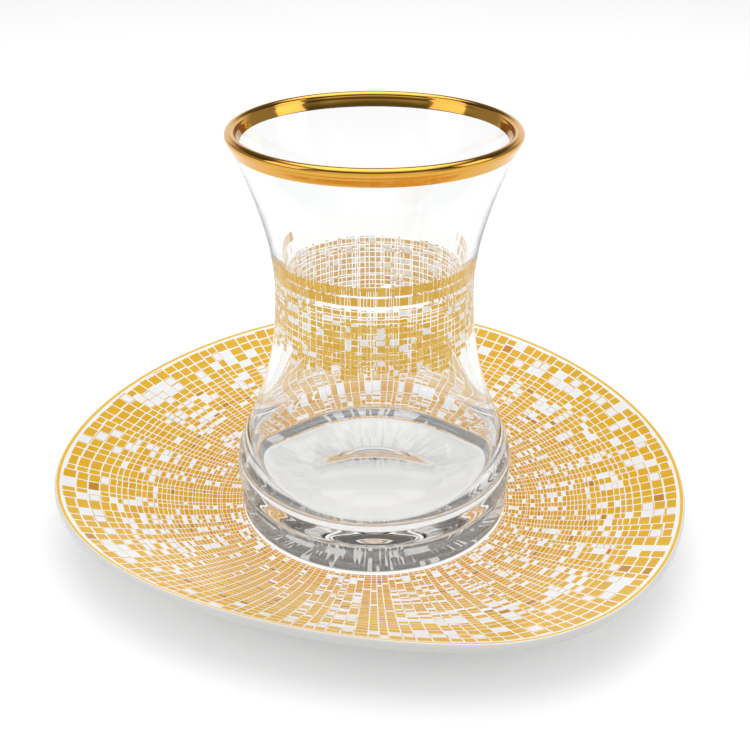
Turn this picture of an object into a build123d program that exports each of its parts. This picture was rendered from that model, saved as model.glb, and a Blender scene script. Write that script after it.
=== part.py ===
"""Waisted tea glass with a gilded lip, standing on its pebble-shaped porcelain saucer.

Millimetres, +Z up. The origin is the middle of the saucer's outline, on the table.
The glass is one turned solid; its gilding is a thin skin round the lip. The saucer's
outline is four Bezier quarters, and every section between its round well and its rim
blends the well's circle into that outline.
"""
from build123d import *
import os

# ---- saucer: outline ----
SAUCER_WIDTH = 146.5        # left to right
SAUCER_DEPTH = 147.5        # front to back
LEFT_TIP_Y = -7.7           # where the outline runs straight front to back, on the left
RIGHT_TIP_Y = -9.2          # and on the right
FRONT_TIP_X = 20.3          # where it runs straight left to right, at the front
BACK_TIP_X = 3.5            # and at the back
PULL_LEFT_FRONT = 44.1      # handle lengths, the fullness of each quarter at each end
PULL_FRONT_LEFT = 40.7
PULL_FRONT_RIGHT = 32.7
PULL_RIGHT_FRONT = 32.5
PULL_RIGHT_BACK = 37.9
PULL_BACK_RIGHT = 37.0
PULL_BACK_LEFT = 40.9
PULL_LEFT_BACK = 38.0

# ---- saucer: heights and walls ----
WELL_X = 1.7                # middle of the well, where the glass stands
WELL_Y = -11.2
WELL_MARGIN = 2.7           # flat floor of the well outside the glass's foot
FOOT_RING_WIDTH = 3.0
FOOT_RING_HEIGHT = 1.8
FOOT_RING_LAND = 1.0        # flat underside outside the foot ring
WELL_THICKNESS = 3.2
RIM_RISE = 9.0              # rim top above the floor of the well
RIM_THICKNESS = 2.4
RIM_LAND = 0.025            # share of the way in from the rim that its flat top takes
RISE_POWER = 1.5            # how late the dish turns up
DISH_STEPS = 4              # sections between the well and the rim

# ---- glass: outer radii, and heights above its foot ----
FOOT_RADIUS = 31.3
FOOT_CORNER = 1.8           # rounding under the foot
FOOT_SHOULDER = 0.9         # rounding above it
GROOVE_HEIGHT = 7.0
GROOVE_DEPTH = 1.0
BULGE_RADIUS = 31.8
BULGE_HEIGHT = 11.4
WAIST_RADIUS = 21.4
WAIST_HEIGHT = 55.5
LIP_RADIUS = 29.0           # middle of the lip's rounded edge
LIP_HEIGHT = 87.85
LIP_LEAN = 24.0             # degrees that the lip leans outward
PULL_BULGE = 8.0            # handle lengths of the wall's curves, at each end
PULL_BELOW_WAIST = 27.0
PULL_ABOVE_WAIST = 9.0
PULL_LIP = 9.0

# ---- glass: wall and base ----
WALL_BULGE = 2.6
WALL_WAIST = 2.3
WALL_LIP = 1.9
FLOOR_HEIGHT = 8.4          # solid glass under the inside floor
FLOOR_RADIUS = 22.0         # flat part of that floor
INNER_BULGE_HEIGHT = 15.5
PULL_FLOOR = 5.0
PUNT_RADIUS = 16.5          # hollow under the foot
PUNT_DEPTH = 1.6

# ---- gilding ----
GILDING_HEIGHT = 2.3        # down the wall from the middle of the lip's edge
GILDING_THICKNESS = 0.15

glass_base = FOOT_RING_HEIGHT + WELL_THICKNESS
well_radius = FOOT_RADIUS + WELL_MARGIN
rim_top = glass_base + RIM_RISE
glass_plane = Plane((WELL_X, WELL_Y, glass_base), x_dir=(1, 0, 0), z_dir=(0, -1, 0))
glass_axis = Axis((WELL_X, WELL_Y, glass_base), (0, 0, 1))


def outline_quarters():
    """Control points of the outline's quarters, from the left tip round by the front."""
    left = Vector(-SAUCER_WIDTH / 2, LEFT_TIP_Y)
    right = Vector(SAUCER_WIDTH / 2, RIGHT_TIP_Y)
    front = Vector(FRONT_TIP_X, -SAUCER_DEPTH / 2)
    back = Vector(BACK_TIP_X, SAUCER_DEPTH / 2)
    along_x, along_y = Vector(1, 0), Vector(0, 1)
    return [
        [left, left - along_y * PULL_LEFT_FRONT, front - along_x * PULL_FRONT_LEFT, front],
        [front, front + along_x * PULL_FRONT_RIGHT, right - along_y * PULL_RIGHT_FRONT, right],
        [right, right + along_y * PULL_RIGHT_BACK, back + along_x * PULL_BACK_RIGHT, back],
        [back, back - along_x * PULL_BACK_LEFT, left + along_y * PULL_LEFT_BACK, left],
    ]


def circle_quarters(radius):
    """The same four quarters for a circle about the middle of the well."""
    middle = Vector(WELL_X, WELL_Y)
    pull = radius * 4 / 3 * (2 ** 0.5 - 1)
    quarters = []
    for way, turn in (((-1, 0), (0, -1)), ((0, -1), (1, 0)), ((1, 0), (0, 1)), ((0, 1), (-1, 0))):
        start, end = Vector(*way), Vector(*turn)
        quarters.append([
            middle + start * radius,
            middle + start * radius + end * pull,
            middle + end * radius + start * pull,
            middle + end * radius,
        ])
    return quarters


def dish_section(radius, share, height):
    """A closed face, share of the way from the well's circle to the outline."""
    with BuildSketch(Plane.XY.offset(height)) as section:
        with BuildLine():
            for inner, outer in zip(circle_quarters(radius), outline_quarters()):
                Bezier(*[a + (b - a) * share for a, b in zip(inner, outer)])
        make_face()
    return section.sketch


def dish_height(low, high, share):
    return low + (high - low) * share ** RISE_POWER


def dish_sections(radius, low, high, reach):
    """Sections of one side of the dish, from the well up to reach of the way out."""
    shares = [reach * step / DISH_STEPS for step in range(DISH_STEPS + 1)]
    return [dish_section(radius, s, dish_height(low, high, s / reach)) for s in shares]


def lip_point(side, drop):
    """A point at side from the lip's middle line and drop below its rounded edge."""
    up = Vector(0, 1).rotate(Axis.Z, -LIP_LEAN)
    out = Vector(1, 0).rotate(Axis.Z, -LIP_LEAN)
    return Vector(LIP_RADIUS, LIP_HEIGHT) + out * side - up * drop


def lip_pull(side):
    """The handle that leads a wall's curve into the lip."""
    return lip_point(side, GILDING_HEIGHT + PULL_LIP)


def over_lip(half_thickness):
    """Up the outside of the lip, over its round edge and down the inside."""
    rise = Line(lip_point(half_thickness, GILDING_HEIGHT), lip_point(half_thickness, 0))
    edge = ThreePointArc(rise @ 1, lip_point(0, -half_thickness), lip_point(-half_thickness, 0))
    return Line(edge @ 1, lip_point(-half_thickness, GILDING_HEIGHT))


# ---- glass ----
half_lip = WALL_LIP / 2
inner_bulge = BULGE_RADIUS - WALL_BULGE
inner_waist = WAIST_RADIUS - WALL_WAIST

with BuildSketch(glass_plane) as glass_profile:
    with BuildLine():
        punt = ThreePointArc(
            (0, PUNT_DEPTH), (PUNT_RADIUS * 0.6, PUNT_DEPTH * 0.66), (PUNT_RADIUS, 0)
        )
        sole = Line(punt @ 1, (FOOT_RADIUS - FOOT_CORNER, 0))
        toe = RadiusArc(sole @ 1, (FOOT_RADIUS, FOOT_CORNER), -FOOT_CORNER)
        side = Line(toe @ 1, (FOOT_RADIUS, GROOVE_HEIGHT - FOOT_SHOULDER))
        shoulder = RadiusArc(side @ 1, (BULGE_RADIUS - GROOVE_DEPTH, GROOVE_HEIGHT), -FOOT_SHOULDER)
        bulge = Bezier(
            shoulder @ 1,
            (BULGE_RADIUS, GROOVE_HEIGHT),
            (BULGE_RADIUS, (GROOVE_HEIGHT + BULGE_HEIGHT) / 2),
            (BULGE_RADIUS, BULGE_HEIGHT),
        )
        hip = Bezier(
            bulge @ 1,
            (BULGE_RADIUS, BULGE_HEIGHT + PULL_BULGE),
            (WAIST_RADIUS, WAIST_HEIGHT - PULL_BELOW_WAIST),
            (WAIST_RADIUS, WAIST_HEIGHT),
        )
        Bezier(
            hip @ 1,
            (WAIST_RADIUS, WAIST_HEIGHT + PULL_ABOVE_WAIST),
            lip_pull(half_lip),
            lip_point(half_lip, GILDING_HEIGHT),
        )
        lip = over_lip(half_lip)
        neck = Bezier(
            lip @ 1,
            lip_pull(-half_lip),
            (inner_waist, WAIST_HEIGHT + PULL_ABOVE_WAIST),
            (inner_waist, WAIST_HEIGHT),
        )
        belly = Bezier(
            neck @ 1,
            (inner_waist, WAIST_HEIGHT - PULL_BELOW_WAIST),
            (inner_bulge, INNER_BULGE_HEIGHT + PULL_BULGE),
            (inner_bulge, INNER_BULGE_HEIGHT),
        )
        corner = Bezier(
            belly @ 1,
            (inner_bulge, INNER_BULGE_HEIGHT - PULL_FLOOR),
            (FLOOR_RADIUS + PULL_FLOOR, FLOOR_HEIGHT),
            (FLOOR_RADIUS, FLOOR_HEIGHT),
        )
        floor = Line(corner @ 1, (0, FLOOR_HEIGHT))
        Line(floor @ 1, punt @ 0)
    make_face()

with BuildPart() as glass:
    add(glass_profile.sketch)
    revolve(axis=glass_axis)
glass.part.label = "glass"

# ---- gilding round the lip ----
with BuildSketch(glass_plane) as gilding_profile:
    with BuildLine():
        outside = over_lip(half_lip + GILDING_THICKNESS)
        against = over_lip(half_lip)
        Line(outside @ 1, against @ 1)
        Line(lip_point(half_lip, GILDING_HEIGHT), lip_point(half_lip + GILDING_THICKNESS, GILDING_HEIGHT))
    make_face()

with BuildPart() as rim_gilding:
    add(gilding_profile.sketch)
    revolve(axis=glass_axis)
rim_gilding.part.label = "rim_gilding"

# ---- saucer ----
under_edge = rim_top - RIM_THICKNESS
ring_outer = well_radius + FOOT_RING_WIDTH / 2
under_radius = ring_outer + FOOT_RING_LAND

with BuildPart() as saucer:
    loft(dish_sections(under_radius, FOOT_RING_HEIGHT, under_edge, 1))
    extrude(dish_section(under_radius, 1, under_edge), amount=RIM_THICKNESS, dir=(0, 0, 1))
    loft(dish_sections(well_radius, glass_base, rim_top, 1 - RIM_LAND), mode=Mode.SUBTRACT)
    with BuildSketch(Plane.XY):
        with Locations((WELL_X, WELL_Y)):
            Circle(ring_outer)
            Circle(ring_outer - FOOT_RING_WIDTH, mode=Mode.SUBTRACT)
    extrude(amount=FOOT_RING_HEIGHT)
saucer.part.label = "saucer"

os.makedirs("parts", exist_ok=True)
export_step(glass.part, "parts/glass.step")
export_step(rim_gilding.part, "parts/rim_gilding.step")
export_step(saucer.part, "parts/saucer.step")
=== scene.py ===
import math
import random

import bpy
from bpy.props import FloatProperty, FloatVectorProperty, IntProperty, PointerProperty
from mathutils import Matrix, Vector


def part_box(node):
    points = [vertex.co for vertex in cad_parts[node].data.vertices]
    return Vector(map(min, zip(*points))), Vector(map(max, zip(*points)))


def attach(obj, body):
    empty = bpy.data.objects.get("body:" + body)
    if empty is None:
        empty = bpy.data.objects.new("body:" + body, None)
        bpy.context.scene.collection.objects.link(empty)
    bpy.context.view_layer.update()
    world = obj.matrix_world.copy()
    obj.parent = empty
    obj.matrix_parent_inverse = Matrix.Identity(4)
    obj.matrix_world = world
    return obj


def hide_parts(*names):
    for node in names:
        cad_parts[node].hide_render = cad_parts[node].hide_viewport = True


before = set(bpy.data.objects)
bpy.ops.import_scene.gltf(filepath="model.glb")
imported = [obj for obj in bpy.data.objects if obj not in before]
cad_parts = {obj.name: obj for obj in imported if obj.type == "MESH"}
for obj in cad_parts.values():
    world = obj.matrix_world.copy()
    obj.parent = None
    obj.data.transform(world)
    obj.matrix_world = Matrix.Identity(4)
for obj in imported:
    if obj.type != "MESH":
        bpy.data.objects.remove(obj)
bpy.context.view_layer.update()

bl_info = {
    "name": "Turkish tea glass",
    "version": (1, 0, 0),
    "blender": (4, 5, 0),
    "location": "View3D > Sidebar > Tea glass",
    "description": "Builds a gilded, printed tea glass and its mosaic saucer round their solids",
    "category": "Object",
}

MM = 0.001
GLASS_LOW, GLASS_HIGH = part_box("glass")
SAUCER_LOW, SAUCER_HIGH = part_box("saucer")
GLASS_X = (GLASS_LOW[0] + GLASS_HIGH[0]) / 2
GLASS_Y = (GLASS_LOW[1] + GLASS_HIGH[1]) / 2
GLASS_Z = GLASS_LOW[2]

# the glass's section: corners of the foot, lean of the lip and how far each curve is pulled
FOOT_CORNER = 1.8 * MM
FOOT_SHOULDER = 0.9 * MM
LIP_LEAN = math.radians(24)
INNER_BELLY_HEIGHT = 15.5 * MM
PULL_BELLY = 8 * MM
PULL_BELOW_WAIST = 27 * MM
PULL_ABOVE_WAIST = 9 * MM
PULL_FLOOR = 5 * MM

# the gilding: how far its bead and its band stand out, and how far it sinks in
BEAD_RISE = 0.145 * MM
BAND_RISE = 0.06 * MM
GILDING_SINK = 0.02 * MM

# the print: joints between tiles, the two rings of painted reflection over the band and how often a tile is
# gold
JOINT_HEIGHT = 0.11 * MM
JOINT_ANGLE = 0.0055
REFLECTED_RING_HEIGHTS = ((58.6, 60.6), (60.95, 63.0))
RAGGED_BOTTOM = 2.4 * MM
GOLD_COLUMNS = 0.58
GOLD_ROWS = 0.3
GOLD_TILES = 0.22
TURNED_TILES = 0.12

# the saucer: radius of the well and of the underside's flat, and the share where the rim starts
WELL_RADIUS = 34.0 * MM
UNDER_RADIUS = 36.5 * MM
FOOT_RING_HEIGHT = 1.8 * MM
RIM_START = 0.965
RISE_POWER = 1.5

# the saucer's outline: where its four tips lie and how far each curve is pulled from them
LEFT_TIP_Y = -7.7 * MM
RIGHT_TIP_Y = -9.2 * MM
FRONT_TIP_X = 20.3 * MM
BACK_TIP_X = 3.5 * MM
PULL_LEFT_FRONT = 44.1 * MM
PULL_FRONT_LEFT = 40.7 * MM
PULL_FRONT_RIGHT = 32.7 * MM
PULL_RIGHT_FRONT = 32.5 * MM
PULL_RIGHT_BACK = 37.9 * MM
PULL_BACK_RIGHT = 37.0 * MM
PULL_BACK_LEFT = 40.9 * MM
PULL_LEFT_BACK = 38.0 * MM

# the saucer's mosaic: random values past which a ray, a ring or a tile is gold, and joint widths
GOLD_RAYS_FROM = 0.42
GOLD_RINGS_FROM = 0.47
GOLD_TILES_FROM = 0.68
PALE_TILES_BELOW = 0.07
DARK_TILES_FROM = 0.98
RAY_JOINT = 0.06
RING_JOINT = 0.075

# the stage
FLOOR_GLOW = 0.27
ROOM_LIGHT = 0.62
CAMERA_SHIFT = 0.0009


def size(name, default, description):
    """A length in metres, given here in millimetres."""
    return FloatProperty(name=name, default=default * MM, unit="LENGTH", precision=5,
                         description=description)


def tint(name, default, description):
    return FloatVectorProperty(name=name, default=default, size=3, min=0, max=1,
                               subtype="COLOR", description=description)


def srgb(red, green, blue):
    """A colour of 0 to 255 as the shaders want it."""
    def linear(c):
        c /= 255
        return c / 12.92 if c <= 0.04045 else ((c + 0.055) / 1.055) ** 2.4
    return tuple(linear(c) for c in (red, green, blue))


# ---------------------------------------------------------------- settings

class GlassSettings(bpy.types.PropertyGroup):
    foot_radius: size("Foot radius", 31.3, "Outer radius of the foot")
    groove_height: size("Groove height", 7.0, "Height of the groove over the foot")
    groove_depth: size("Groove depth", 1.0, "Depth of the groove")
    bulge_radius: size("Bulge radius", 31.8, "Widest outer radius of the belly")
    bulge_height: size("Bulge height", 11.4, "Height of the belly's widest part")
    waist_radius: size("Waist radius", 21.4, "Narrowest outer radius")
    waist_height: size("Waist height", 55.5, "Height of the waist")
    lip_radius: size("Lip radius", 29.0, "Radius of the middle of the lip's edge")
    lip_height: size("Lip height", 87.85, "Height of the middle of the lip's edge")
    lip_wall: size("Lip wall", 1.9, "Thickness of the lip")
    waist_wall: size("Waist wall", 2.3, "Thickness of the wall at the waist")
    belly_wall: size("Belly wall", 2.6, "Thickness of the wall at the belly")
    floor_height: size("Floor height", 8.4, "Height of the inside floor")
    floor_radius: size("Floor radius", 22.0, "Flat part of the inside floor")
    punt_radius: size("Punt radius", 16.5, "Radius of the hollow under the foot")
    punt_depth: size("Punt depth", 1.6, "Depth of that hollow")
    gilding_height: size("Gilding height", 2.3, "How far the gold reaches down the wall")
    turns: IntProperty(name="Turning steps", default=160, min=24, max=400,
                       description="Faces round the glass")


class PrintSettings(bpy.types.PropertyGroup):
    bottom: size("Bottom", 44.4, "Lower edge of the printed band above the foot")
    top: size("Top", 58.0, "Upper edge of the printed band")
    columns: IntProperty(name="Columns", default=110, min=12, max=300,
                         description="Columns of tiles round the glass")
    rows: IntProperty(name="Rows", default=15, min=3, max=60, description="Rows of tiles")
    lift: size("Lift", 0.03, "Thickness of the print on the glass")
    gold: tint("Gold", srgb(230, 178, 38), "Gold of the print")
    pale: tint("Pale tile", srgb(250, 249, 248), "Pale tiles of the print")


class SaucerSettings(bpy.types.PropertyGroup):
    gold: tint("Gold", srgb(233, 182, 40), "Gold tiles towards the edge")
    amber: tint("Amber", srgb(216, 152, 14), "Gold tiles towards the glass")
    brown: tint("Brown", srgb(165, 100, 18), "The odd dark tile")
    pale: tint("Pale tile", srgb(246, 246, 249), "Pale tiles")
    white: tint("Glaze", srgb(252, 252, 251), "White glaze and the joints between tiles")
    edge_gold: tint("Edge gold", srgb(244, 196, 66), "The line round the edge")
    rays: IntProperty(name="Rays", default=150, min=20, max=400, description="Tiles round the well")
    rings: IntProperty(name="Rings", default=32, min=5, max=100, description="Rings of tiles")


class StageSettings(bpy.types.PropertyGroup):
    distance: size("Distance", 209.3, "From the glass to the camera, along the table")
    height: size("Height", 144.5, "Camera above the foot of the glass")
    pitch: FloatProperty(name="Pitch", default=math.radians(28.26), subtype="ANGLE",
                         description="How far the camera looks down")
    lens: FloatProperty(name="Lens", default=50.42, min=10, description="Focal length in millimetres")
    backdrop: tint("Backdrop", (0.82, 0.82, 0.82), "Floor and background")


# ---------------------------------------------------------------- shader maths

class Wire:
    """A socket in a node tree that takes part in Python sums."""

    def __init__(self, tree, socket):
        self.tree, self.socket = tree, socket

    def math(self, operation, *values):
        return node(self.tree, "ShaderNodeMath", {"operation": operation},
                    {i: v for i, v in enumerate(values)})

    def __add__(self, other):
        return self.math("ADD", self, other)

    __radd__ = __add__

    def __sub__(self, other):
        return self.math("SUBTRACT", self, other)

    def __rsub__(self, other):
        return self.math("SUBTRACT", other, self)

    def __mul__(self, other):
        return self.math("MULTIPLY", self, other)

    __rmul__ = __mul__

    def __gt__(self, other):
        return self.math("GREATER_THAN", self, other)

    def __lt__(self, other):
        return self.math("LESS_THAN", self, other)

    def most(self, other):
        return self.math("MAXIMUM", self, other)


def node(tree, kind, settings=None, sockets=None, out=0):
    """Add a node, with its settings first and then its sockets' values or links."""
    made = tree.nodes.new(kind)
    for name, value in (settings or {}).items():
        setattr(made, name, value)
    for name, value in (sockets or {}).items():
        if isinstance(value, Wire):
            tree.links.new(value.socket, made.inputs[name])
        else:
            made.inputs[name].default_value = value
    return Wire(tree, made.outputs[out])


def mix(tree, factor, low, high):
    """Blend two colours, each a wire or an RGB triple."""
    low, high = (c if isinstance(c, Wire) else (*c, 1) for c in (low, high))
    return node(tree, "ShaderNodeMix", {"data_type": "RGBA"}, {0: factor, 6: low, 7: high}, 2)


def material(name):
    made = bpy.data.materials.new(name)
    made.use_nodes = True
    tree = made.node_tree
    tree.nodes.clear()
    return made, tree


def finish_surface(tree, shader):
    output = tree.nodes.new("ShaderNodeOutputMaterial")
    tree.links.new(shader.socket, output.inputs["Surface"])


# ---------------------------------------------------------------- shapes

def bezier(a, b, c, d, steps):
    """Points along a cubic curve, without its first."""
    points = []
    for i in range(1, steps + 1):
        t = i / steps
        s = 1 - t
        w = (s ** 3, 3 * s * s * t, 3 * s * t * t, t ** 3)
        points.append(tuple(sum(k * p[n] for k, p in zip(w, (a, b, c, d))) for n in (0, 1)))
    return points


def lip_frame(g):
    """A function that turns a place beside and below the lip into radius and height."""
    up = (math.sin(LIP_LEAN), math.cos(LIP_LEAN))
    out = (math.cos(LIP_LEAN), -math.sin(LIP_LEAN))
    return lambda side, drop: (g.lip_radius + out[0] * side - up[0] * drop,
                               g.lip_height + out[1] * side - up[1] * drop)


def outer_wall(g):
    """The outside from the groove to the lip, as radius and height."""
    lip = lip_frame(g)
    half = g.lip_wall / 2
    start = (g.bulge_radius - g.groove_depth, g.groove_height)
    bulge = (g.bulge_radius, g.bulge_height)
    waist = (g.waist_radius, g.waist_height)
    middle = (g.groove_height + g.bulge_height) / 2
    points = [start]
    points += bezier(start, (g.bulge_radius, g.groove_height), (g.bulge_radius, middle), bulge, 10)
    points += bezier(bulge, (g.bulge_radius, g.bulge_height + PULL_BELLY),
                     (g.waist_radius, g.waist_height - PULL_BELOW_WAIST), waist, 40)
    points += bezier(waist, (g.waist_radius, g.waist_height + PULL_ABOVE_WAIST),
                     lip(half, g.gilding_height + PULL_ABOVE_WAIST),
                     lip(half, g.gilding_height), 26)
    return points


def outer_radius(wall, height):
    """Radius of the outside at a height."""
    for (r0, z0), (r1, z1) in zip(wall, wall[1:]):
        if z0 <= height <= z1:
            return r0 + (r1 - r0) * (height - z0) / (z1 - z0)
    return wall[-1][0]


def glass_outline(g):
    """The whole section, from the middle of the punt round to the middle of the floor."""
    lip = lip_frame(g)
    half = g.lip_wall / 2
    points = [(g.punt_radius * i / 8, g.punt_depth * (1 - (i / 8) ** 2)) for i in range(9)]
    points += arc((g.foot_radius - FOOT_CORNER, FOOT_CORNER), FOOT_CORNER, -90, 0, 8)
    points += arc((g.foot_radius - FOOT_SHOULDER, g.groove_height - FOOT_SHOULDER),
                  FOOT_SHOULDER, 0, 75, 6)
    points += outer_wall(g)
    points += [lip(half, 0)]
    points += [lip(half * math.cos(math.radians(a)), -half * math.sin(math.radians(a)))
               for a in range(20, 180, 20)]
    points += [lip(-half, 0), lip(-half, g.gilding_height)]
    waist = (g.waist_radius - g.waist_wall, g.waist_height)
    bulge = (g.bulge_radius - g.belly_wall, INNER_BELLY_HEIGHT)
    floor_edge = (g.floor_radius, g.floor_height)
    points += bezier(points[-1], lip(-half, g.gilding_height + PULL_ABOVE_WAIST),
                     (waist[0], waist[1] + PULL_ABOVE_WAIST), waist, 26)
    points += bezier(waist, (waist[0], waist[1] - PULL_BELOW_WAIST),
                     (bulge[0], bulge[1] + PULL_BELLY), bulge, 40)
    points += bezier(bulge, (bulge[0], bulge[1] - PULL_FLOOR),
                     (g.floor_radius + PULL_FLOOR, g.floor_height), floor_edge, 14)
    points += [(g.floor_radius * i / 6, g.floor_height) for i in range(5, -1, -1)]
    return points


def arc(centre, radius, start, end, steps):
    """Points along an arc, its ends included, with angles in degrees."""
    angles = [math.radians(start + (end - start) * i / steps) for i in range(steps + 1)]
    return [(centre[0] + radius * math.cos(a), centre[1] + radius * math.sin(a)) for a in angles]


def lay_mesh(name, points, edges, faces):
    """A new object in the scene from its points, edges and faces."""
    mesh = bpy.data.meshes.new(name)
    mesh.from_pydata(points, edges, faces)
    piece = bpy.data.objects.new(name, mesh)
    bpy.context.scene.collection.objects.link(piece)
    return piece


def select_only(piece):
    bpy.ops.object.select_all(action="DESELECT")
    piece.select_set(True)
    bpy.context.view_layer.objects.active = piece


def turned(name, outline, steps, closed=False):
    """Spin a section about the glass's axis into a smooth shell."""
    points = [(GLASS_X + r, GLASS_Y, GLASS_Z + z) for r, z in outline]
    edges = [(i, i + 1) for i in range(len(points) - 1)]
    if closed:
        edges.append((len(points) - 1, 0))
    piece = lay_mesh(name, points, edges, [])
    select_only(piece)
    bpy.ops.object.mode_set(mode="EDIT")
    bpy.ops.mesh.select_all(action="SELECT")
    bpy.ops.mesh.spin(steps=steps, angle=2 * math.pi, center=(GLASS_X, GLASS_Y, 0), axis=(0, 0, 1))
    bpy.ops.mesh.select_all(action="SELECT")
    bpy.ops.mesh.remove_doubles(threshold=0.002 * MM)
    bpy.ops.mesh.normals_make_consistent(inside=False)
    bpy.ops.object.mode_set(mode="OBJECT")
    bpy.ops.object.shade_smooth_by_angle(angle=math.radians(40))
    return piece


def hand_over(piece, made, node_name):
    """Give a finished piece its material and its body, and hide the CAD node it stands for."""
    piece.data.materials.clear()
    piece.data.materials.append(made)
    if node_name:
        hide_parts(node_name)
    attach(piece, "root")


# ---------------------------------------------------------------- operators

class MakeGlass(bpy.types.Operator):
    """The clear glass, one turned piece"""
    bl_idname = "tea_glass.glass"
    bl_label = "Clear glass"

    def execute(self, context):
        g = context.scene.tea_glass_glass
        piece = turned("glass_body", glass_outline(g), g.turns)
        made, tree = material("clear_glass")
        finish_surface(tree, node(tree, "ShaderNodeBsdfPrincipled", None, {
            "Base Color": (0.955, 0.96, 0.96, 1), "Roughness": 0.0, "IOR": 1.5, "Transmission Weight": 1.0}))
        # light reaches the saucer through the glass, as it does in clear glass
        piece.visible_shadow = False
        piece.visible_diffuse = False
        hand_over(piece, made, "glass")
        return {"FINISHED"}


class MakeGilding(bpy.types.Operator):
    """The gold round the lip: a round bead and a narrow band below it"""
    bl_idname = "tea_glass.gilding"
    bl_label = "Gilded lip"

    def execute(self, context):
        g = context.scene.tea_glass_glass
        lip = lip_frame(g)
        half = g.lip_wall / 2
        bead = half + BEAD_RISE
        band = half + BAND_RISE
        outline = [lip(band, g.gilding_height), lip(band, 0.95 * MM), lip(bead * 0.98, 0.6 * MM)]
        outline += [lip(bead * math.cos(math.radians(a)), -bead * math.sin(math.radians(a)))
                    for a in range(-20, 201, 10)]
        outline += [lip(-bead * 0.98, 0.6 * MM), lip(-band, 0.95 * MM), lip(-band, g.gilding_height)]
        inner = half - GILDING_SINK
        outline += [lip(-inner, g.gilding_height), lip(-inner, 0)]
        outline += [lip(-inner * math.cos(math.radians(a)), -inner * math.sin(math.radians(a)))
                    for a in range(20, 180, 20)]
        outline += [lip(inner, 0), lip(inner, g.gilding_height)]
        piece = turned("gold_lip", outline, g.turns, closed=True)
        made, tree = material("polished_gold")
        finish_surface(tree, node(tree, "ShaderNodeBsdfPrincipled", None, {
            "Base Color": (*srgb(222, 166, 72), 1), "Metallic": 1.0, "Roughness": 0.1}))
        hand_over(piece, made, "rim_gilding")
        return {"FINISHED"}


class MakePrint(bpy.types.Operator):
    """The mosaic print round the waist, tile by tile, with two rings of painted reflection over it"""
    bl_idname = "tea_glass.print"
    bl_label = "Printed mosaic"

    def execute(self, context):
        g, p = context.scene.tea_glass_glass, context.scene.tea_glass_print
        draw = random.Random(7)
        wall = outer_wall(g)
        points, faces, tones = [], [], []

        def tile(a0, a1, z0, z1, tone):
            """A small curved patch of print between two angles and two heights."""
            across = max(1, round((a1 - a0) / math.radians(3)))
            first = len(points)
            for z in (z0, z1):
                r = outer_radius(wall, z) + p.lift
                for k in range(across + 1):
                    a = a0 + (a1 - a0) * k / across
                    points.append((GLASS_X + r * math.cos(a), GLASS_Y + r * math.sin(a), GLASS_Z + z))
            for k in range(across):
                faces.append((first + k, first + k + 1, first + across + k + 2, first + across + k + 1))
                tones.append(tone)

        def spans(count, low, high, uneven):
            """Uneven steps that fill low to high."""
            widths = [1 + uneven * (draw.random() - 0.5) for _ in range(count)]
            share, marks = (high - low) / sum(widths), [low]
            for width in widths:
                marks.append(marks[-1] + width * share)
            return list(zip(marks, marks[1:]))

        columns = spans(p.columns, 0, 2 * math.pi, 1.3)
        rows = spans(p.rows, p.bottom - RAGGED_BOTTOM, p.top, 1.1)
        row_gold = [draw.random() < GOLD_ROWS for _ in rows]
        gap_z = JOINT_HEIGHT
        gap_a = JOINT_ANGLE
        for a0, a1 in columns:
            gold_column = draw.random() < GOLD_COLUMNS
            top = p.top + draw.uniform(-0.5, 0.5) * MM
            bottom = p.bottom + draw.uniform(-2.4, 1.2) * MM
            for (z0, z1), gold_row in zip(rows, row_gold):
                z0, z1 = max(z0, bottom), min(z1, top)
                if z1 - z0 < 0.3 * MM:
                    continue
                gold = gold_column or gold_row or draw.random() < GOLD_TILES
                if draw.random() < TURNED_TILES:
                    gold = not gold
                shift = draw.uniform(-0.08, 0.08) * MM
                tone = draw.uniform(0.1, 0.9) if gold else -1
                if gold and draw.random() < 0.3:
                    middle = (a0 + a1) / 2
                    tile(a0 + gap_a, middle - gap_a / 2, z0 + gap_z, z1 - gap_z + shift, tone)
                    tile(middle + gap_a / 2, a1 - gap_a, z0 + gap_z, z1 - gap_z + shift,
                         draw.uniform(0.1, 0.9))
                else:
                    tile(a0 + gap_a, a1 - gap_a, z0 + gap_z, z1 - gap_z + shift, tone)
                if not gold and draw.random() < 0.45:
                    tile(a0 - gap_a, a1 + gap_a, z0 - gap_z * 0.8, z0 + gap_z * 0.8, 0.3)
                if not gold and draw.random() < 0.3:
                    tile(a0 - gap_a * 0.7, a0 + gap_a * 0.7, z0, z1, 0.3)
        # painted reflection: both rings stand for the band's image reflected in the glass wall, so they are
        # whole on the side facing the camera and break up towards the back
        for low, high in REFLECTED_RING_HEIGHTS:
            for a0, a1 in columns:
                facing = -math.sin((a0 + a1) / 2)
                if draw.random() > 0.5 + 2.2 * (facing + 0.22):
                    continue
                steps = draw.choice((1, 2))
                for k in range(steps):
                    b0 = a0 + (a1 - a0) * k / steps
                    b1 = a0 + (a1 - a0) * (k + 1) / steps
                    tile(b0 + gap_a * 0.5, b1 - gap_a * 0.5, low * MM + draw.uniform(0, 0.12) * MM,
                         high * MM - draw.uniform(0, 0.12) * MM, draw.uniform(0.1, 0.8))
        piece = lay_mesh("print_and_reflected_rings", points, [], faces)
        store = piece.data.attributes.new("tone", "FLOAT", "FACE")
        store.data.foreach_set("value", tones)
        made, tree = material("gold_print_and_reflection")
        tone = node(tree, "ShaderNodeAttribute", {"attribute_name": "tone"}, None, 2)
        gold = mix(tree, tone, tuple(p.gold), srgb(243, 200, 84))
        colour = mix(tree, tone > -0.5, tuple(p.pale), gold)
        finish_surface(tree, node(tree, "ShaderNodeBsdfPrincipled", None, {
            "Base Color": colour, "Roughness": 0.3, "Metallic": 0.0}))
        hand_over(piece, made, None)
        return {"FINISHED"}


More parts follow.
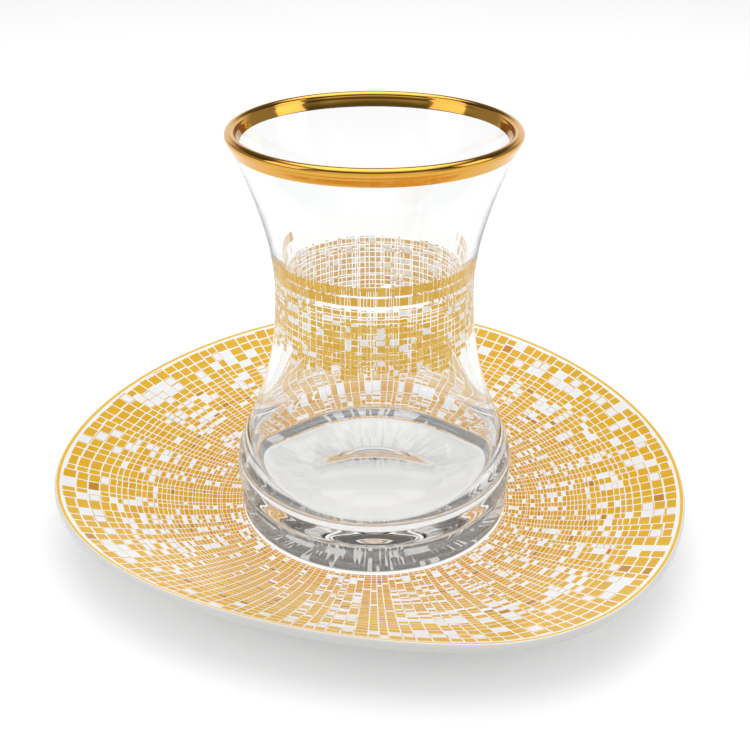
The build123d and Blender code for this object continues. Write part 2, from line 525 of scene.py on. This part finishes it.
def saucer_quarters():
    """The outline's four curves about the middle of the frame."""
    half_x = (SAUCER_HIGH[0] - SAUCER_LOW[0]) / 2
    half_y = (SAUCER_HIGH[1] - SAUCER_LOW[1]) / 2
    left = (-half_x, LEFT_TIP_Y)
    right = (half_x, RIGHT_TIP_Y)
    front = (FRONT_TIP_X, -half_y)
    back = (BACK_TIP_X, half_y)

    def off(point, x, y):
        return (point[0] + x, point[1] + y)

    return ((left, off(left, 0, -PULL_LEFT_FRONT), off(front, -PULL_FRONT_LEFT, 0), front),
            (front, off(front, PULL_FRONT_RIGHT, 0), off(right, 0, -PULL_RIGHT_FRONT), right),
            (right, off(right, 0, PULL_RIGHT_BACK), off(back, PULL_BACK_RIGHT, 0), back),
            (back, off(back, -PULL_BACK_LEFT, 0), off(left, 0, PULL_LEFT_BACK), left))


class MakeSaucer(bpy.types.Operator):
    """The pebble-shaped porcelain saucer with its mosaic"""
    bl_idname = "tea_glass.saucer"
    bl_label = "Mosaic saucer"

    def execute(self, context):
        s = context.scene.tea_glass_saucer
        outline = []
        for quarter in saucer_quarters():
            outline += bezier(*quarter, 64)
        angles = [math.atan2(y - GLASS_Y, x - GLASS_X) for x, y in outline]
        top = SAUCER_HIGH[2]
        well = GLASS_Z
        rings = []

        def ring(radius, share, height, mark):
            """A ring of points: share of the way from a circle to the outline."""
            points = []
            for (x, y), a in zip(outline, angles):
                cx, cy = GLASS_X + radius * math.cos(a), GLASS_Y + radius * math.sin(a)
                points.append((cx + (x - cx) * share, cy + (y - cy) * share, height))
            rings.append((points, mark))

        for k in range(1, 9):
            ring(WELL_RADIUS * k / 8, 0, well, (k / 8 - 1) * 0.85)
        for k in range(1, 41):
            t = k / 40
            ring(WELL_RADIUS, t * RIM_START, well + (top - 0.25 * MM - well) * t ** RISE_POWER, t)
        for share, drop in ((0.975, 0.06), (0.985, 0.0), (0.993, 0.15), (0.998, 0.5), (1.0, 0.95),
                            (1.0, 1.5), (0.996, 1.95), (0.985, 2.3), (0.965, 2.6)):
            # marks past 1.1 on the rim's side and the underside pick the painted grey shade in the mosaic
            past_edge = 0.2 if drop > 0.1 else 0
            ring(WELL_RADIUS, share, top - drop * MM, 1 + (share - RIM_START) + past_edge)
        low = FOOT_RING_HEIGHT
        for k in range(19, -1, -1):
            t = k / 20
            ring(UNDER_RADIUS, t * 0.96, low + (top - 2.8 * MM - low) * t ** RISE_POWER, 2)
        for radius, height in ((35.6, 1.8), (35.45, 1.5), (35.3, 0.3), (34.9, 0.0), (33.2, 0.0),
                               (32.8, 0.3), (32.6, 1.5), (32.2, 1.8), (12, 1.8)):
            ring(radius * MM, 0, height * MM, 2)
        count = len(outline)
        points = [p for level, _ in rings for p in level]
        faces, marks = [], []
        for i in range(len(rings) - 1):
            for j in range(count):
                k = (j + 1) % count
                faces.append((i * count + j, i * count + k, (i + 1) * count + k, (i + 1) * count + j))
                a0, a1 = angles[j], angles[k]
                if a1 < a0 - math.pi:
                    a1 += 2 * math.pi
                u0, u1 = (a / (2 * math.pi) + 0.5 for a in (a0, a1))
                v0, v1 = rings[i][1], rings[i + 1][1]
                marks += [(u0, v0), (u1, v0), (u1, v1), (u0, v1)]
        for level, mark, flip in ((0, -0.85, True), (len(rings) - 1, 2, False)):
            loop = [level * count + j for j in range(count)]
            faces.append(tuple(reversed(loop)) if not flip else tuple(loop))
            marks += [(0.5, mark)] * count
        piece = lay_mesh("mosaic_saucer", points, [], faces)
        layer = piece.data.uv_layers.new(name="polar")
        for corner, mark in zip(layer.data, marks):
            corner.uv = mark
        select_only(piece)
        bpy.ops.object.mode_set(mode="EDIT")
        bpy.ops.mesh.select_all(action="SELECT")
        bpy.ops.mesh.normals_make_consistent(inside=False)
        bpy.ops.object.mode_set(mode="OBJECT")
        bpy.ops.object.shade_smooth_by_angle(angle=math.radians(50))
        hand_over(piece, self.mosaic(s), "saucer")
        return {"FINISHED"}

    def mosaic(self, s):
        """Rings of tiles round the well, gold, amber and white, in a ragged plaid, with a painted grey shade
        on the side and underside.
        """
        made, tree = material("mosaic_porcelain")
        uv = node(tree, "ShaderNodeUVMap", {"uv_map": "polar"})
        split = node(tree, "ShaderNodeSeparateXYZ", None, {0: uv})
        nodes = split.socket.node.outputs
        around = Wire(tree, nodes[0])
        out = Wire(tree, nodes[1])
        ray_at = around * float(s.rays)

        def cells(position, spread):
            """Three random values of the cell that a position falls in, and how near its edge is."""
            colour = node(tree, "ShaderNodeTexVoronoi", {"voronoi_dimensions": "1D"},
                          {"W": position, "Scale": 1.0, "Randomness": spread}, 1)
            edge = node(tree, "ShaderNodeTexVoronoi",
                        {"voronoi_dimensions": "1D", "feature": "DISTANCE_TO_EDGE"},
                        {"W": position, "Scale": 1.0, "Randomness": spread})
            parts = node(tree, "ShaderNodeSeparateColor", None, {0: colour}).socket.node.outputs
            return [Wire(tree, part) for part in parts], edge

        (ray_a, ray_b, ray_c), ray_edge = cells(ray_at, 0.75)
        ring_at = (out * 1.7 - out * out * 0.7) * float(s.rings) + (ray_b - 0.5) * 0.35
        (ring_a, ring_b, _), ring_edge = cells(ring_at, 0.9)
        key = node(tree, "ShaderNodeCombineXYZ", None, {0: ray_a * 97.0, 1: ring_a * 89.0})
        noise = node(tree, "ShaderNodeTexWhiteNoise", {"noise_dimensions": "3D"}, {"Vector": key}, 1)
        parts = node(tree, "ShaderNodeSeparateColor", None, {0: noise}).socket.node.outputs
        tile_a, tile_b, tile_c = (Wire(tree, part) for part in parts)
        gold = (ray_c > GOLD_RAYS_FROM).most(ring_b > GOLD_RINGS_FROM).most(tile_a > GOLD_TILES_FROM)
        gold = gold * (tile_b > PALE_TILES_BELOW)
        joint = (ray_edge < RAY_JOINT).most(ring_edge < RING_JOINT)
        lined = (tile_c > 0.42) * joint
        # joints are white between gold tiles and thin gold lines between pale ones
        on = gold * (1 - joint) + (1 - gold) * lined
        warm = node(tree, "ShaderNodeMapRange", None,
                    {0: out, 1: 0.0, 2: 0.75, 3: 1.0, 4: 0.0})
        metal = mix(tree, warm * 0.75 + (tile_c - 0.5) * 0.5, tuple(s.gold), tuple(s.amber))
        metal = mix(tree, (tile_b > DARK_TILES_FROM) * 0.55, metal, tuple(s.brown))
        pale = mix(tree, (1 - joint) * (1 - gold), tuple(s.white), tuple(s.pale))
        colour = mix(tree, on, pale, metal)
        printed = (out > -0.07) * (out < 0.985 + (ray_b - 0.5) * 0.02)
        colour = mix(tree, printed, tuple(s.white), colour)
        line = (out > 1.003) * (out < 1.025)
        colour = mix(tree, line, colour, tuple(s.edge_gold))
        # painted shade: past the rim's top, on its side and the whole underside, the white glaze is painted
        # a light grey
        colour = mix(tree, out > 1.1, colour, srgb(226, 225, 223))
        finish_surface(tree, node(tree, "ShaderNodeBsdfPrincipled", None, {
            "Base Color": colour, "Roughness": 0.22, "IOR": 1.45, "Coat Weight": 0.15,
            "Coat Roughness": 0.08}))
        return made


class MakeStage(bpy.types.Operator):
    """White floor, soft light and the camera"""
    bl_idname = "tea_glass.stage"
    bl_label = "Stage"

    def execute(self, context):
        s = context.scene.tea_glass_stage
        scene = context.scene
        bpy.ops.object.select_all(action="DESELECT")
        bpy.ops.mesh.primitive_plane_add(size=8, location=(0, 0, -0.00005))
        floor = context.object
        floor.name = "floor"
        made, tree = material("backdrop")
        # the floor glows a little where it is looked at, and lights nothing by it
        rays = tree.nodes.new("ShaderNodeLightPath")
        bounced = Wire(tree, rays.outputs["Is Diffuse Ray"])
        glow = node(tree, "ShaderNodeEmission", None, {"Color": (1, 1, 1, 1),
                                                       "Strength": (1 - bounced) * FLOOR_GLOW})
        matt = node(tree, "ShaderNodeBsdfDiffuse", None, {"Color": (*s.backdrop, 1)})
        finish_surface(tree, node(tree, "ShaderNodeAddShader", None, {0: matt, 1: glow}))
        floor.data.materials.append(made)

        def lamp(name, energy, extent, place, aim):
            data = bpy.data.lights.new(name, "AREA")
            data.energy = energy
            data.size = extent
            data.shape = "SQUARE"
            made = bpy.data.objects.new(name, data)
            scene.collection.objects.link(made)
            made.location = place
            way = Vector(aim) - Vector(place)
            made.rotation_euler = way.to_track_quat("-Z", "Y").to_euler()

        lamp("softbox_top", 3.6, 0.9, (0.0, 0.15, 0.95), (0, 0, 0.03))
        lamp("softbox_left", 1.1, 0.5, (-0.75, -0.25, 0.5), (0, 0, 0.05))
        lamp("softbox_right", 0.8, 0.4, (0.75, -0.1, 0.45), (0, 0, 0.05))
        self.sky(scene)
        self.camera(scene, s)
        scene.view_settings.view_transform = "Standard"
        return {"FINISHED"}

    def sky(self, scene):
        """White to the camera, plain light on the piece, and pale and dark bands to reflect."""
        world = bpy.data.worlds.new("studio")
        scene.world = world
        world.use_nodes = True
        tree = world.node_tree
        tree.nodes.clear()
        rays = tree.nodes.new("ShaderNodeLightPath")
        seen = Wire(tree, rays.outputs["Is Camera Ray"])
        glossy = Wire(tree, rays.outputs["Is Glossy Ray"])
        way = node(tree, "ShaderNodeTexCoord").socket.node.outputs["Generated"]
        axes = node(tree, "ShaderNodeSeparateXYZ", None, {0: Wire(tree, way)}).socket.node.outputs
        side, up = Wire(tree, axes[0]), Wire(tree, axes[2])
        band = node(tree, "ShaderNodeMapRange", {"interpolation_type": "SMOOTHSTEP"},
                    {0: up, 1: 0.25, 2: 0.5, 3: 1.0, 4: 0.12})
        cap = node(tree, "ShaderNodeMapRange", {"interpolation_type": "SMOOTHSTEP"},
                   {0: up, 1: 0.72, 2: 0.85, 3: 0.0, 4: 1.0})
        edge = node(tree, "ShaderNodeMapRange", {"interpolation_type": "SMOOTHSTEP"},
                    {0: side.math("ABSOLUTE", side), 1: 0.55, 2: 0.8, 3: 1.0, 4: 0.35})
        shine = band.most(cap) * edge
        level = seen + (1 - seen) * (glossy * shine + (1 - glossy) * ROOM_LIGHT)
        tree.links.new(
            node(tree, "ShaderNodeBackground", None, {"Color": (1, 1, 1, 1), "Strength": level}).socket,
            tree.nodes.new("ShaderNodeOutputWorld").inputs["Surface"])

    def camera(self, scene, s):
        data = bpy.data.cameras.new("camera")
        data.lens = s.lens
        data.sensor_width = 36
        data.shift_x = CAMERA_SHIFT
        made = bpy.data.objects.new("camera", data)
        scene.collection.objects.link(made)
        made.location = (GLASS_X, GLASS_Y - s.distance, GLASS_Z + s.height)
        made.rotation_euler = (math.pi / 2 - s.pitch, 0, 0)
        scene.camera = made


# ---------------------------------------------------------------- panel and registration

class TeaGlassPanel(bpy.types.Panel):
    """Sizes, colours and the steps that build the glass"""
    bl_idname = "VIEW3D_PT_tea_glass"
    bl_label = "Tea glass"
    bl_space_type = "VIEW_3D"
    bl_region_type = "UI"
    bl_category = "Tea glass"

    def draw(self, context):
        for step, settings in STEPS:
            box = self.layout.box()
            box.operator(step.bl_idname)
            group = getattr(context.scene, settings)
            for name in group.bl_rna.properties.keys():
                if name not in {"rna_type", "name"}:
                    box.prop(group, name)


SETTINGS = {"tea_glass_glass": GlassSettings, "tea_glass_print": PrintSettings,
            "tea_glass_saucer": SaucerSettings, "tea_glass_stage": StageSettings}
STEPS = ((MakeGlass, "tea_glass_glass"), (MakeGilding, "tea_glass_glass"),
         (MakePrint, "tea_glass_print"), (MakeSaucer, "tea_glass_saucer"),
         (MakeStage, "tea_glass_stage"))
CLASSES = (*SETTINGS.values(), *(step for step, _ in STEPS), TeaGlassPanel)


def register():
    for cls in CLASSES:
        bpy.utils.register_class(cls)
    for name, cls in SETTINGS.items():
        setattr(bpy.types.Scene, name, PointerProperty(type=cls))


def unregister():
    for name in SETTINGS:
        delattr(bpy.types.Scene, name)
    for cls in reversed(CLASSES):
        bpy.utils.unregister_class(cls)


def main():
    register()
    bpy.ops.tea_glass.glass()
    bpy.ops.tea_glass.gilding()
    bpy.ops.tea_glass.print()
    bpy.ops.tea_glass.saucer()
    bpy.ops.tea_glass.stage()


if __name__ == "__main__":
    main()
